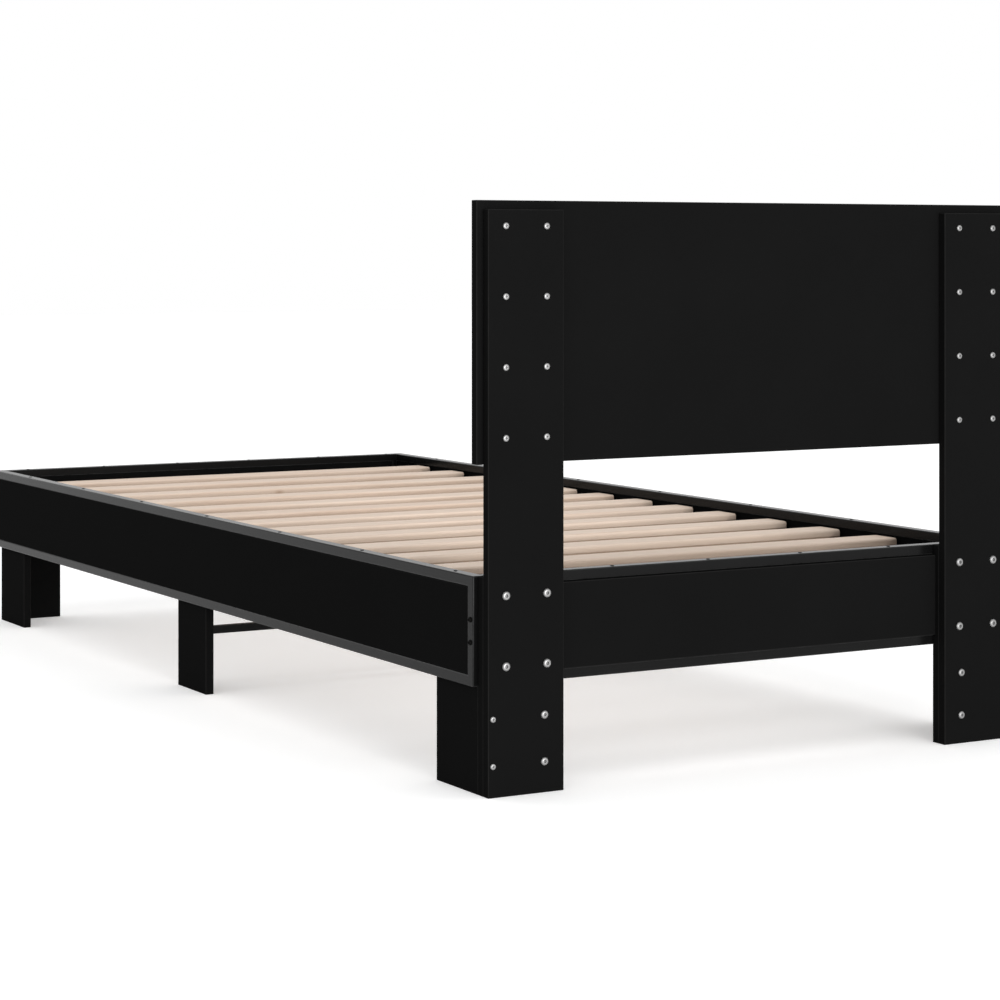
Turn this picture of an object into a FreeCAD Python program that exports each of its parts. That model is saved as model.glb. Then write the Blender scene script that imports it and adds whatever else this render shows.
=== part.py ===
"""Single bed frame: four steel rail frames with board infills, board legs and a board headboard.

The bed lies along X with its head at +X, stands on Z = 0 and is centred on X and Y.
"Left" is the -Y side. Lengths are in millimetres.
"""
import FreeCAD, Part
import os
import re
import Sketcher

# Driving dimensions: name, value, meaning.
DIMENSIONS = [
    ("board_thickness", 15, "posts, packers, legs and headboard"),
    ("post_width", 124, "width of a headboard post, its packer and the leg boards"),
    ("post_height", 830, "floor to the top of a post"),
    ("headboard_rise", 13, "top edge of the headboard panel above the posts"),
    ("post_inset", 8, "outer face of a post inside the outer face of the steel frame"),
    ("headboard_overhang", 2.5, "end of the headboard panel beyond the side of the steel frame"),
    ("headboard_height", 374, "bottom to top edge of the headboard panel"),
    ("frame_length", 2063, "outside length of the steel frame"),
    ("frame_width", 957, "outside width of the steel frame"),
    ("rail_base", 153.5, "floor to the underside of the rails, and the height of the legs"),
    ("rail_height", 157, "height of a rail frame"),
    ("tube_width", 20, "horizontal thickness of the steel tubes"),
    ("tube_height", 15.5, "height of the top and bottom tubes"),
    ("upright_width", 16, "face width of the uprights of the side rails"),
    ("end_upright_width", 10, "face width of the uprights of the head and foot rails"),
    ("tube_wall", 1.5, "wall of the steel tubes"),
    ("infill_thickness", 15, "rail infill boards"),
    ("infill_recess", 1, "infill face behind the outer face of the steel"),
    ("infill_gap", 0.5, "all round between an infill board and its steel frame"),
    ("facing_thickness", 9, "facing board on the head rail's infill, between the packers"),
    ("facing_gap", 0.5, "facing board to each packer"),
    ("foot_leg_inset", 20, "foot legs' end boards inside the foot end of the steel frame"),
    ("stretcher_size", 14, "square section of the stretcher between the middle legs"),
    ("stretcher_drop", 43.5, "underside of the rails to the top of the stretcher"),
    ("slat_width", 60, "along the bed"),
    ("slat_thickness", 14, "slat board"),
    ("slat_drop", 17.5, "slat tops below the top of the rails"),
    ("slat_clearance", 4, "slat end to the inner face of a rail"),
    ("slat_start", 51, "head rail's inner face to the first slat"),
    ("slat_end", 108, "last slat to the foot rail's inner face"),
    ("slat_pitch_middle", 139, "slat to slat at the middle of the bed, closer than towards the ends"),
    ("slat_edge_radius", 3, "rounded long edges of a slat"),
    ("ledge_width", 30, "horizontal leg of the slat ledge"),
    ("ledge_depth", 25, "vertical leg of the slat ledge"),
    ("ledge_metal", 2, "thickness of the slat ledge"),
    ("ledge_end_gap", 10, "end of a ledge to the end rails"),
    ("dowel_width", 8, "dowel between the two boards of a foot leg"),
    ("dowel_length", 24, "dowel between the boards of a foot leg"),
    ("dowel_depth", 9, "dowel into the end board"),
    ("dowel_rise", 40, "floor to the lower dowel"),
    ("dowel_drop", 38.5, "top of a leg to its upper dowel"),
    ("plate_width", 50, "stretcher's end plates, along the leg boards"),
    ("plate_height", 20, "stretcher's end plates"),
    ("plate_metal", 2, "thickness of the stretcher's end plates"),
    ("bracket_gap", 2, "end of a head leg's bracket to the head rail"),
    ("bracket_metal", 2, "thickness of a leg bracket"),
    ("bracket_drop", 40, "leg bracket below the top of its leg"),
    ("bracket_rise", 13, "leg bracket above the top of its leg"),
    ("bolt_room", 6, "end of the head rail's infill to the axes of the outer rail bolts"),
    ("column_spacing", 67, "between the two columns of heads on a post"),
    ("headboard_screw_rise", 37.5, "headboard's bottom edge to the lowest screw row"),
    ("headboard_screw_drop", 36.5, "headboard's top edge to the highest screw row"),
    ("rail_bolt_rise", 30.5, "underside of the rail to the lower rail bolts"),
    ("rail_bolt_drop", 26.5, "top of the rail to the upper rail bolts"),
    ("leg_bolt_rise", 44.5, "floor to the lower leg bolts"),
    ("leg_bolt_drop", 42.5, "top of a leg to the upper leg bolts"),
    ("leg_bolt_edge", 91.5, "outer edge of a post to its leg bolts"),
    ("corner_bolt_pitch", 32.5, "between the two bolts of a frame corner"),
    ("infill_screw_start", 69.5, "head end of the frame to the first screw of a side infill"),
    ("infill_screw_end", 193.5, "foot end of the frame to the last screw of a side infill"),
    ("end_screw_start", 49.5, "left end of an end rail to its first infill screw"),
    ("end_screw_end", 22.5, "right end of an end rail to its last infill screw"),
    ("fit", 0.3, "radial clearance of the holes that fasteners pass through"),
    ("screw_shank", 5, "headboard screw"),
    ("screw_head", 10, "headboard screw head"),
    ("screw_head_height", 2.5, "headboard screw head"),
    ("screw_bite", 11, "headboard screw into the panel"),
    ("bolt_shank", 6, "rail bolt"),
    ("bolt_head", 13, "rail bolt head"),
    ("bolt_head_height", 3.5, "rail bolt head"),
    ("nut_width", 10, "rail bolt nut"),
    ("nut_height", 5, "rail bolt nut"),
    ("leg_shank", 6, "leg bolt"),
    ("leg_head", 12, "leg bolt head"),
    ("leg_head_height", 3, "leg bolt head"),
    ("leg_nut_width", 10, "leg bolt nut"),
    ("leg_nut_height", 5, "leg bolt nut"),
    ("edge_shank", 4, "long screw into the end of a leg board"),
    ("edge_head", 9, "long screw head"),
    ("edge_head_height", 2.2, "long screw head"),
    ("edge_bite", 25, "long screw into the end of a leg board"),
    ("corner_shank", 6, "frame corner bolt"),
    ("corner_head", 8, "frame corner bolt head"),
    ("corner_head_height", 2.5, "frame corner bolt head"),
    ("corner_nut_width", 10, "frame corner nut"),
    ("corner_nut_height", 6, "frame corner nut inside the end rail's upright"),
    ("infill_shank", 3.5, "infill screw"),
    ("infill_head", 6, "infill screw head"),
    ("infill_head_height", 0.8, "infill screw head"),
    ("infill_bite", 18, "infill screw into the board"),
    ("thread_end", 2, "end of a bolt beyond its nut"),
    ("trim_shank", 4, "bracket, ledge and stretcher screws"),
    ("trim_head", 8, "bracket, ledge and stretcher screw heads"),
    ("trim_head_height", 2, "bracket, ledge and stretcher screw heads"),
    ("trim_bite", 10, "bracket, ledge and stretcher screws into their board"),
]

SLATS_AT_EACH_END = 4
SLATS_IN_MIDDLE = 4
SLAT_COUNT = 2 * SLATS_AT_EACH_END + SLATS_IN_MIDDLE + 1
SIDES = (("left", -1), ("right", 1))
HEADBOARD_SCREW_ROWS = 4
SIDE_INFILL_SCREWS = 7
END_INFILL_SCREWS = 6
LEDGE_SCREWS = 5

ALIASES = {name for name, _, _ in DIMENSIONS}

# Places that several pieces share, as formulas of the dimensions.
HEAD_END = "(frame_length / 2 + board_thickness - bolt_head_height / 2)"
FRAME_HEAD = "(frame_length / 2 - board_thickness - bolt_head_height / 2)"
FRAME_FOOT = "(-frame_length / 2 - board_thickness - bolt_head_height / 2)"
FRAME_MIDDLE = "(-board_thickness - bolt_head_height / 2)"
FRAME_SIDE = "(frame_width / 2)"
POST_SIDE = "(frame_width / 2 - post_inset)"
POST_MIDDLE = "(frame_width / 2 - post_inset - post_width / 2)"
RAIL_TOP = "(rail_base + rail_height)"
RAIL_MIDDLE = "(rail_base + rail_height / 2)"
LEDGE_TOP = "(rail_base + rail_height - slat_drop - slat_thickness)"
HEADBOARD_TOP = "(post_height + headboard_rise)"
HEADBOARD_BASE = "(post_height + headboard_rise - headboard_height)"
END_RAIL_LENGTH = "(frame_width - 2 * tube_width)"
LEG_CENTRES = {
    "head": "(%s - post_width / 2)" % FRAME_HEAD,
    "mid": FRAME_MIDDLE,
    "foot": "(%s + foot_leg_inset + board_thickness + post_width / 2)" % FRAME_FOOT,
}

doc = FreeCAD.newDocument("bed_frame")
sheet = doc.addObject("Spreadsheet::Sheet", "Dims")
for row, (name, value, meaning) in enumerate(DIMENSIONS, start=1):
    sheet.set("A%d" % row, name)
    sheet.set("B%d" % row, str(value))
    sheet.set("C%d" % row, meaning)
    sheet.setAlias("B%d" % row, name)
doc.recompute()

nodes = []


def formula(text):
    """Turn a formula of dimension names into one that reads the sheet."""
    return re.sub(r"[a-z_]+", lambda m: "Dims." + m.group() if m.group() in ALIASES else m.group(), str(text))


def bind(thing, **properties):
    """Bind properties of an object to formulas."""
    for prop, text in properties.items():
        thing.setExpression(prop, formula(text))


def place(thing, x, y, z, axis=(0, 0, 1), angle=0):
    """Place an object at a point given by formulas, turned by a fixed angle about an axis."""
    turn = FreeCAD.Rotation(FreeCAD.Vector(*axis), angle)
    thing.Placement = FreeCAD.Placement(FreeCAD.Vector(), turn)
    for letter, text in (("x", x), ("y", y), ("z", z)):
        thing.setExpression("Placement.Base." + letter, formula(text))


def node(thing, name):
    """Make an object a sub-part, which is written under this name."""
    thing.Label = name
    nodes.append(thing)
    return thing


def box(x, y, z, length, width, height):
    """A box with its low corner at a point."""
    thing = doc.addObject("Part::Box", "Box")
    bind(thing, Length=length, Width=width, Height=height)
    place(thing, x, y, z)
    return thing


TURNS = {"+x": ((0, 1, 0), 90), "-x": ((0, 1, 0), -90), "+y": ((1, 0, 0), -90), "-y": ((1, 0, 0), 90),
         "+z": ((0, 0, 1), 0), "-z": ((1, 0, 0), 180)}
OPPOSITE = {"+x": "-x", "-x": "+x", "+y": "-y", "-y": "+y", "+z": "-z", "-z": "+z"}


def rod(point, way, radius, length):
    """A round rod that runs from a point one way."""
    thing = doc.addObject("Part::Cylinder", "Rod")
    bind(thing, Radius=radius, Height=length)
    place(thing, *point, *TURNS[way])
    return thing


def hexagon(point, way, width, length):
    """A hexagonal bar, width across its flats, that runs from a point one way."""
    thing = doc.addObject("Part::Prism", "Hexagon")
    thing.Polygon = 6
    bind(thing, Circumradius="%s / sqrt(3)" % width, Height=length)
    place(thing, *point, *TURNS[way])
    return thing


def fuse(first, second):
    thing = doc.addObject("Part::Fuse", "Fuse")
    thing.Base, thing.Tool = first, second
    return thing


def cut(base, tool):
    thing = doc.addObject("Part::Cut", "Cut")
    thing.Base, thing.Tool = base, tool
    return thing


def group(things):
    """Several separate solids in one object."""
    thing = doc.addObject("Part::Compound", "Group")
    thing.Links = things
    return thing


def fastener(point, way, head, head_height, shank, length):
    """A headed screw or bolt: its head stands out one way from the point, its shank runs the other."""
    head_rod = rod(point, way, "%s / 2" % head, head_height)
    return fuse(head_rod, rod(point, OPPOSITE[way], "%s / 2" % shank, length))


def nut(point, way, width, height, shank):
    """A hexagonal nut that bears on the point and stands out one way, with a clear bore."""
    bore = rod(point, way, "%s / 2 + fit" % shank, height)
    return cut(hexagon(point, way, width, height), bore)


def sketch_on(body, role, label):
    """An empty sketch on one of a body's own origin planes."""
    sketch = body.newObject("Sketcher::SketchObject", label)
    plane = next(item for item in body.Origin.OriginFeatures if item.Role == role)
    sketch.AttachmentSupport = [(plane, "")]
    sketch.MapMode = "FlatFace"
    return sketch


def dimension(sketch, constraint, text):
    """Add a driving constraint and bind it to a formula."""
    index = sketch.addConstraint(constraint)
    sketch.renameConstraint(index, "size%d" % index)
    sketch.setExpression("Constraints.size%d" % index, formula(text))


def pin(sketch, geometry, vertex, across, up):
    """Hold a point of the sketch at a place measured from the sketch's origin."""
    dimension(sketch, Sketcher.Constraint("DistanceX", -1, 1, geometry, vertex, 1.0), across)
    dimension(sketch, Sketcher.Constraint("DistanceY", -1, 1, geometry, vertex, 1.0), up)


def outline(sketch, corners):
    """A closed outline of straight sides through corners given by formulas."""
    count = len(corners)
    vectors = [FreeCAD.Vector(10 * k, 7 * k * k, 0) for k in range(count)]
    first = sketch.GeometryCount
    for k in range(count):
        sketch.addGeometry(Part.LineSegment(vectors[k], vectors[(k + 1) % count]), False)
    for k in range(count):
        sketch.addConstraint(Sketcher.Constraint("Coincident", first + k, 2, first + (k + 1) % count, 1))
        pin(sketch, first + k, 1, *corners[k])


def rectangle(sketch, low_across, high_across, low_up, high_up):
    outline(sketch, [(low_across, low_up), (high_across, low_up),
                     (high_across, high_up), (low_across, high_up)])


def circle(sketch, across, up, radius):
    """A circle, for a drilled hole."""
    index = sketch.addGeometry(Part.Circle(FreeCAD.Vector(1, 1, 0), FreeCAD.Vector(0, 0, 1), 1.0), False)
    pin(sketch, index, 3, across, up)
    dimension(sketch, Sketcher.Constraint("Radius", index, 1.0), radius)


def pad(body, sketch, length, reverse):
    feature = body.newObject("PartDesign::Pad", "Pad")
    feature.Profile = sketch
    feature.Reversed = reverse
    bind(feature, Length=length)
    return feature


def pocket(body, sketch, length):
    """A pocket into the material on the local -X side of the plane."""
    feature = body.newObject("PartDesign::Pocket", "Pocket")
    feature.Profile = sketch
    feature.Reversed = False
    bind(feature, Length=length)
    return feature


def cross_board(low, high, base, top, thickness, holes=()):
    """A board across the bed. Its rear face is at local X = 0 and it reaches towards the foot.

    holes: (across, up, radius) of holes drilled right through.
    """
    body = doc.addObject("PartDesign::Body", "Board")
    profile = sketch_on(body, "YZ_Plane", "Profile")
    rectangle(profile, low, high, base, top)
    for across, up, radius in holes:
        circle(profile, across, up, radius)
    pad(body, profile, thickness, True)
    return body


def blind_holes(body, holes, depth):
    """Drill holes into the rear face of a cross board, or into the head end of a long board."""
    drills = sketch_on(body, "YZ_Plane", "Drills")
    for across, up, radius in holes:
        circle(drills, across, up, radius)
    doc.recompute()
    before = body.Shape.Volume
    pocket(body, drills, depth)
    doc.recompute()
    if body.Shape.Volume >= before:
        raise RuntimeError("the blind holes of %s cut nothing" % body.Label)


def long_board(length, base, top, thickness, side):
    """A board along the bed. Its head end is at local X = 0 and its outer face at local Y = 0."""
    body = doc.addObject("PartDesign::Body", "Board")
    profile = sketch_on(body, "XZ_Plane", "Profile")
    rectangle(profile, "-" + length, "0", base, top)
    pad(body, profile, thickness, side < 0)
    return body


def drilled(blank, rods, name):
    """A sub-part: the blank with these rods cut out of it."""
    return node(cut(blank, group(rods)), name)


def hollow_frame(corner, length, width, height, end, along):
    """A welded rectangle of hollow tube, which stands on its bottom tube.

    corner: its low corner. along: "x" or "y", the way it runs; width is its thickness the other way.
    """
    def ring(outer, side, foot):
        """A rectangular ring whose sides are set in by these amounts from the outside of the frame."""
        x, y, z = corner
        across = "%s - 2 * %s" % (width, outer)
        if along == "x":
            block = box("%s + %s" % (x, outer), "%s + %s" % (y, outer), "%s + %s" % (z, outer),
                        "%s - 2 * %s" % (length, outer), across, "%s - 2 * %s" % (height, outer))
            opening = box("%s + %s" % (x, side), y, "%s + %s" % (z, foot),
                          "%s - 2 * (%s)" % (length, side), width, "%s - 2 * (%s)" % (height, foot))
        else:
            block = box("%s + %s" % (x, outer), "%s + %s" % (y, outer), "%s + %s" % (z, outer),
                        across, "%s - 2 * %s" % (length, outer), "%s - 2 * %s" % (height, outer))
            opening = box(x, "%s + %s" % (y, side), "%s + %s" % (z, foot),
                          width, "%s - 2 * (%s)" % (length, side), "%s - 2 * (%s)" % (height, foot))
        return cut(block, opening)

    outside = ring("0", end, "tube_height")
    hollow = ring("tube_wall", "%s - tube_wall" % end, "tube_height - tube_wall")
    return cut(outside, hollow)


# ---------------------------------------------------------------- places of the fasteners

COLUMN_EDGE = "(tube_width + end_upright_width + infill_gap + bolt_room - post_inset)"
HEADBOARD_ROOM = "(headboard_height - headboard_screw_rise - headboard_screw_drop)"
HEADBOARD_PITCH = "%s / %d" % (HEADBOARD_ROOM, HEADBOARD_SCREW_ROWS - 1)
HEADBOARD_ROWS = ["%s + headboard_screw_rise + %d * %s" % (HEADBOARD_BASE, k, HEADBOARD_PITCH)
                  for k in range(HEADBOARD_SCREW_ROWS)]
RAIL_ROWS = ("rail_base + rail_bolt_rise", "%s - rail_bolt_drop" % RAIL_TOP)
LEG_ROWS = ("leg_bolt_rise", "rail_base - leg_bolt_drop")
CORNER_ROWS = ["%s %s corner_bolt_pitch / 2" % (RAIL_MIDDLE, sign) for sign in "-+"]
SIDE_SCREW_PITCH = "(frame_length - infill_screw_start - infill_screw_end) / %d" % (SIDE_INFILL_SCREWS - 1)
SIDE_SCREWS = ["(infill_screw_start + %d * %s)" % (k, SIDE_SCREW_PITCH) for k in range(SIDE_INFILL_SCREWS)]
END_SCREW_PITCH = "(%s - end_screw_start - end_screw_end) / %d" % (END_RAIL_LENGTH, END_INFILL_SCREWS - 1)
END_SCREWS = ["(end_screw_start + %d * %s)" % (k, END_SCREW_PITCH) for k in range(END_INFILL_SCREWS)]


def from_outer_edge(side, distance):
    """A place across a post, a distance from its outer edge, measured from the middle of the post."""
    return "%d * (post_width / 2 - %s)" % (side, distance)


def columns(side):
    """The two columns of heads on a post."""
    return [from_outer_edge(side, COLUMN_EDGE), from_outer_edge(side, "(%s + column_spacing)" % COLUMN_EDGE)]


def hole(shank):
    """Radius of the hole that a shank passes through."""
    return "%s / 2 + fit" % shank


def pilot(shank):
    """Radius of the hole that a screw or a dowel fills."""
    return "%s / 2" % shank


def post_holes(side):
    """The holes that a post and its packer share, measured from the middle of the post."""
    holes = [(across, up, hole("bolt_shank")) for up in RAIL_ROWS for across in columns(side)]
    holes += [(from_outer_edge(side, "leg_bolt_edge"), up, hole("leg_shank")) for up in LEG_ROWS]
    holes += [(from_outer_edge(side, "board_thickness / 2"), up, hole("edge_shank")) for up in LEG_ROWS]
    return holes


# ---------------------------------------------------------------- headboard

HEADBOARD_HALF = "(frame_width / 2 + headboard_overhang)"
panel = cross_board("-" + HEADBOARD_HALF, HEADBOARD_HALF, HEADBOARD_BASE, HEADBOARD_TOP, "board_thickness")
panel_holes = [("%d * %s + %s" % (side, POST_MIDDLE, across), up, pilot("screw_shank"))
               for _, side in SIDES for up in HEADBOARD_ROWS for across in columns(side)]
blind_holes(panel, panel_holes, "screw_bite")
place(panel, HEAD_END + " - board_thickness", "0", "0")
node(panel, "headboard_panel")

for side_name, side in SIDES:
    post_y = "%d * %s" % (side, POST_MIDDLE)
    screw_holes = [(across, up, hole("screw_shank")) for up in HEADBOARD_ROWS for across in columns(side)]
    post = cross_board("-post_width / 2", "post_width / 2", "0", "post_height", "board_thickness",
                       screw_holes + post_holes(side))
    place(post, HEAD_END, post_y, "0")
    node(post, "headboard_post_" + side_name)
    packer = cross_board("-post_width / 2", "post_width / 2", "0", RAIL_TOP, "board_thickness",
                         post_holes(side))
    place(packer, HEAD_END + " - board_thickness", post_y, "0")
    node(packer, "post_packer_" + side_name)

# ---------------------------------------------------------------- legs

BRACKET_SCREW_UP = "(rail_base - bracket_drop / 2)"
BRACKET_WIDTH = "(post_width - 2 * (tube_width + bracket_gap))"
BRACKET_SCREWS = ("-%s / 4" % BRACKET_WIDTH, "%s / 4" % BRACKET_WIDTH)
PLATE_SCREWS = ("-(plate_width + stretcher_size) / 4", "(plate_width + stretcher_size) / 4")
STRETCHER_MIDDLE = "(rail_base - stretcher_drop - stretcher_size / 2)"
DOWEL_ROWS = ("dowel_rise", "rail_base - dowel_drop")
FOOT_JOINT = "%s + foot_leg_inset + board_thickness" % FRAME_FOOT


def inward(side):
    """The way from a side of the bed to its middle."""
    return "+y" if side < 0 else "-y"


def leg_inner(side):
    """Y of the inner face of the leg boards on a side."""
    return "%d * (%s - board_thickness)" % (side, POST_SIDE)


def side_rods(places, side, shank, depth):
    """Holes that start at the inner face of a side's leg boards and run outwards."""
    return [rod((x, leg_inner(side), up), OPPOSITE[inward(side)], pilot(shank), depth) for x, up in places]


def dowel_rods(side, way, depth, start=FOOT_JOINT):
    """Dowels, or their holes, in the joint between the side and end boards of a foot leg."""
    middle = "%d * (%s - board_thickness / 2)" % (side, POST_SIDE)
    return [rod((start, middle, up), way, pilot("dowel_width"), depth) for up in DOWEL_ROWS]


def bracket_places(centre):
    """Where the screws of a leg bracket go, along the bed and up."""
    return [("%s + %s" % (centre, along), BRACKET_SCREW_UP) for along in BRACKET_SCREWS]


PLATE_PLACES = [("%s + %s" % (FRAME_MIDDLE, along), STRETCHER_MIDDLE) for along in PLATE_SCREWS]

for end_name, centre in LEG_CENTRES.items():
    for side_name, side in SIDES:
        leg = long_board("post_width", "0", "rail_base", "board_thickness", side)
        if end_name == "head":
            pilots = [("%d * board_thickness / 2" % -side, up, pilot("edge_shank")) for up in LEG_ROWS]
            blind_holes(leg, pilots, "edge_bite")
        place(leg, centre + " + post_width / 2", "%d * %s" % (side, POST_SIDE), "0")
        drills = side_rods(bracket_places(centre), side, "trim_shank", "trim_bite")
        if end_name == "mid":
            drills += side_rods(PLATE_PLACES, side, "trim_shank", "trim_bite")
        if end_name == "foot":
            drills += dowel_rods(side, "+x", "dowel_length - dowel_depth")
        drilled(leg, drills, "%s_leg_board_%s" % (end_name, side_name))

# An end board covers the foot end of its side board.
dowels = []
for side_name, side in SIDES:
    edges = ("-post_width", "0") if side > 0 else ("0", "post_width")
    end_board = cross_board(*edges, "0", "rail_base", "board_thickness")
    place(end_board, FOOT_JOINT, "%d * %s" % (side, POST_SIDE), "0")
    drilled(end_board, dowel_rods(side, "-x", "dowel_depth"), "foot_leg_end_board_" + side_name)
    dowels += dowel_rods(side, "+x", "dowel_length", FOOT_JOINT + " - dowel_depth")
node(group(dowels), "leg_dowels")

# A leg bracket is a cranked plate: its lower leaf lies on the board, its upper leaf on the tube's inner face.
LEG_FACE, TUBE_FACE = "board_thickness", "(tube_width - post_inset)"
BRACKET_LOW, BRACKET_HIGH = "rail_base - bracket_drop", "rail_base + bracket_rise"
BRACKET_SECTION = [(LEG_FACE, BRACKET_LOW), (LEG_FACE + " + bracket_metal", BRACKET_LOW),
                   (LEG_FACE + " + bracket_metal", "rail_base + bracket_metal"),
                   (TUBE_FACE + " + bracket_metal", "rail_base + bracket_metal"),
                   (TUBE_FACE + " + bracket_metal", BRACKET_HIGH), (TUBE_FACE, BRACKET_HIGH),
                   (TUBE_FACE, "rail_base"), (LEG_FACE, "rail_base")]

for end_name, centre in LEG_CENTRES.items():
    for side_name, side in SIDES:
        bracket = doc.addObject("PartDesign::Body", "Bracket")
        section = sketch_on(bracket, "YZ_Plane", "Section")
        outline(section, [("%d * (%s)" % (-side, across), up) for across, up in BRACKET_SECTION])
        pad(bracket, section, BRACKET_WIDTH, True)
        place(bracket, "%s + %s / 2" % (centre, BRACKET_WIDTH), "%d * %s" % (side, POST_SIDE), "0")
        drilled(bracket, [rod((x, leg_inner(side), up), inward(side), hole("trim_shank"), "bracket_metal")
                          for x, up in bracket_places(centre)], "leg_bracket_%s_%s" % (end_name, side_name))

STRETCHER_HALF = "(%s - board_thickness)" % POST_SIDE
STRETCHER_INNER = "(stretcher_size - 2 * tube_wall)"
bar = box(FRAME_MIDDLE + " - stretcher_size / 2", "-" + STRETCHER_HALF,
          STRETCHER_MIDDLE + " - stretcher_size / 2",
          "stretcher_size", "2 * " + STRETCHER_HALF, "stretcher_size")
for _, side in SIDES:
    low_y = "-" + STRETCHER_HALF if side < 0 else STRETCHER_HALF + " - plate_metal"
    plate = box(FRAME_MIDDLE + " - plate_width / 2", low_y, STRETCHER_MIDDLE + " - plate_height / 2",
                "plate_width", "plate_metal", "plate_height")
    bar = fuse(bar, plate)
bore = box(FRAME_MIDDLE + " - %s / 2" % STRETCHER_INNER, "-" + STRETCHER_HALF,
           STRETCHER_MIDDLE + " - %s / 2" % STRETCHER_INNER,
           STRETCHER_INNER, "2 * " + STRETCHER_HALF, STRETCHER_INNER)
plate_drills = [rod((x, leg_inner(side), up), inward(side), hole("trim_shank"), "plate_metal")
                for _, side in SIDES for x, up in PLATE_PLACES]
drilled(cut(bar, bore), plate_drills, "mid_leg_stretcher")

# ---------------------------------------------------------------- steel rail frames

# End rails: name, low X of the rail, X of the bolts that join it to the side rails.
END_RAILS = (("head", FRAME_HEAD + " - tube_width", FRAME_HEAD + " - upright_width / 2"),
             ("foot", FRAME_FOOT, FRAME_FOOT + " + upright_width / 2"))


def side_screw_start(side, along, up):
    """Where a side rail's infill screw enters, at a height."""
    return FRAME_HEAD + " - " + along, "%d * (%s - tube_width / 2)" % (side, FRAME_SIDE), up


for side_name, side in SIDES:
    low_y = "-" + FRAME_SIDE if side < 0 else FRAME_SIDE + " - tube_width"
    tubes = hollow_frame((FRAME_FOOT, low_y, "rail_base"), "frame_length", "tube_width", "rail_height",
                         "upright_width", "x")
    drills = []
    for _, _, bolt_x in END_RAILS:
        for up in CORNER_ROWS:
            start = (bolt_x, "%d * %s" % (side, FRAME_SIDE), up)
            drills.append(rod(start, inward(side), hole("corner_shank"), "tube_width"))
    for along in SIDE_SCREWS:
        drills.append(rod(side_screw_start(side, along, RAIL_TOP), "-z", hole("infill_shank"), "tube_height"))
    drilled(tubes, drills, "side_rail_frame_" + side_name)


def end_screw_start(low_x, across, up):
    """Where an end rail's infill screw enters, at a height."""
    return low_x + " + tube_width / 2", "%s - %s / 2" % (across, END_RAIL_LENGTH), up


for end_name, low_x, bolt_x in END_RAILS:
    tubes = hollow_frame((low_x, "-%s / 2" % END_RAIL_LENGTH, "rail_base"), END_RAIL_LENGTH, "tube_width",
                         "rail_height", "end_upright_width", "y")
    drills = [rod((bolt_x, "%d * %s / 2" % (side, END_RAIL_LENGTH), up), inward(side), hole("corner_shank"),
                  "tube_wall") for _, side in SIDES for up in CORNER_ROWS]
    drills += [rod(end_screw_start(low_x, across, RAIL_TOP), "-z", hole("infill_shank"), "tube_height")
               for across in END_SCREWS]
    drilled(tubes, drills, end_name + "_rail_frame")

# ---------------------------------------------------------------- infill boards

INFILL_BASE = "(rail_base + tube_height + infill_gap)"
INFILL_TOP = "(rail_base + rail_height - tube_height - infill_gap)"
SIDE_INFILL_LENGTH = "(frame_length - 2 * upright_width - 2 * infill_gap)"
END_INFILL_HALF = "(%s / 2 - end_upright_width - infill_gap)" % END_RAIL_LENGTH
FACING_HALF = "(%s - post_width - facing_gap)" % POST_SIDE
LEDGE_LENGTH = "(frame_length - 2 * tube_width - 2 * ledge_end_gap)"
LEDGE_SCREW_UP = "(%s - ledge_depth / 2)" % LEDGE_TOP


def infill_face(side):
    """Y of the inner face of a side infill board."""
    return "%d * (%s - infill_recess - infill_thickness)" % (side, FRAME_SIDE)


def ledge_screw_x(k):
    """X of one of the screws of a slat ledge, spread evenly along it."""
    return "%s + (%d - %d / 2) * %s / %d" % (FRAME_MIDDLE, k, LEDGE_SCREWS - 1, LEDGE_LENGTH, LEDGE_SCREWS)


for side_name, side in SIDES:
    board = long_board(SIDE_INFILL_LENGTH, INFILL_BASE, INFILL_TOP, "infill_thickness", side)
    place(board, FRAME_HEAD + " - upright_width - infill_gap",
          "%d * (%s - infill_recess)" % (side, FRAME_SIDE), "0")
    pilots = [rod(side_screw_start(side, along, INFILL_TOP), "-z", pilot("infill_shank"), "infill_bite")
              for along in SIDE_SCREWS]
    pilots += [rod((ledge_screw_x(k), infill_face(side), LEDGE_SCREW_UP), OPPOSITE[inward(side)],
                   pilot("trim_shank"), "trim_bite") for k in range(LEDGE_SCREWS)]
    drilled(board, pilots, "side_rail_infill_" + side_name)

rail_bolt_holes = [("%d * %s + %s" % (side, POST_MIDDLE, across), up, hole("bolt_shank"))
                   for _, side in SIDES for up in RAIL_ROWS for across in columns(side)]
INFILL_REARS = (FRAME_HEAD + " - infill_recess", FRAME_FOOT + " + infill_recess + infill_thickness")
for (end_name, low_x, _), rear_x in zip(END_RAILS, INFILL_REARS):
    bolt_holes = rail_bolt_holes if end_name == "head" else ()
    board = cross_board("-" + END_INFILL_HALF, END_INFILL_HALF, INFILL_BASE, INFILL_TOP, "infill_thickness",
                        bolt_holes)
    place(board, rear_x, "0", "0")
    drilled(board, [rod(end_screw_start(low_x, across, INFILL_TOP), "-z", pilot("infill_shank"),
                        "infill_bite") for across in END_SCREWS], end_name + "_rail_infill")

facing = cross_board("-" + FACING_HALF, FACING_HALF, INFILL_BASE, INFILL_TOP, "facing_thickness")
place(facing, FRAME_HEAD + " - infill_recess + facing_thickness", "0", "0")
node(facing, "head_rail_facing")

# ---------------------------------------------------------------- slats and their ledges

LEDGE_SECTION = [("0", "0"), ("ledge_width", "0"), ("ledge_width", "-ledge_metal"),
                 ("ledge_metal", "-ledge_metal"), ("ledge_metal", "-ledge_depth"), ("0", "-ledge_depth")]

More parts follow.
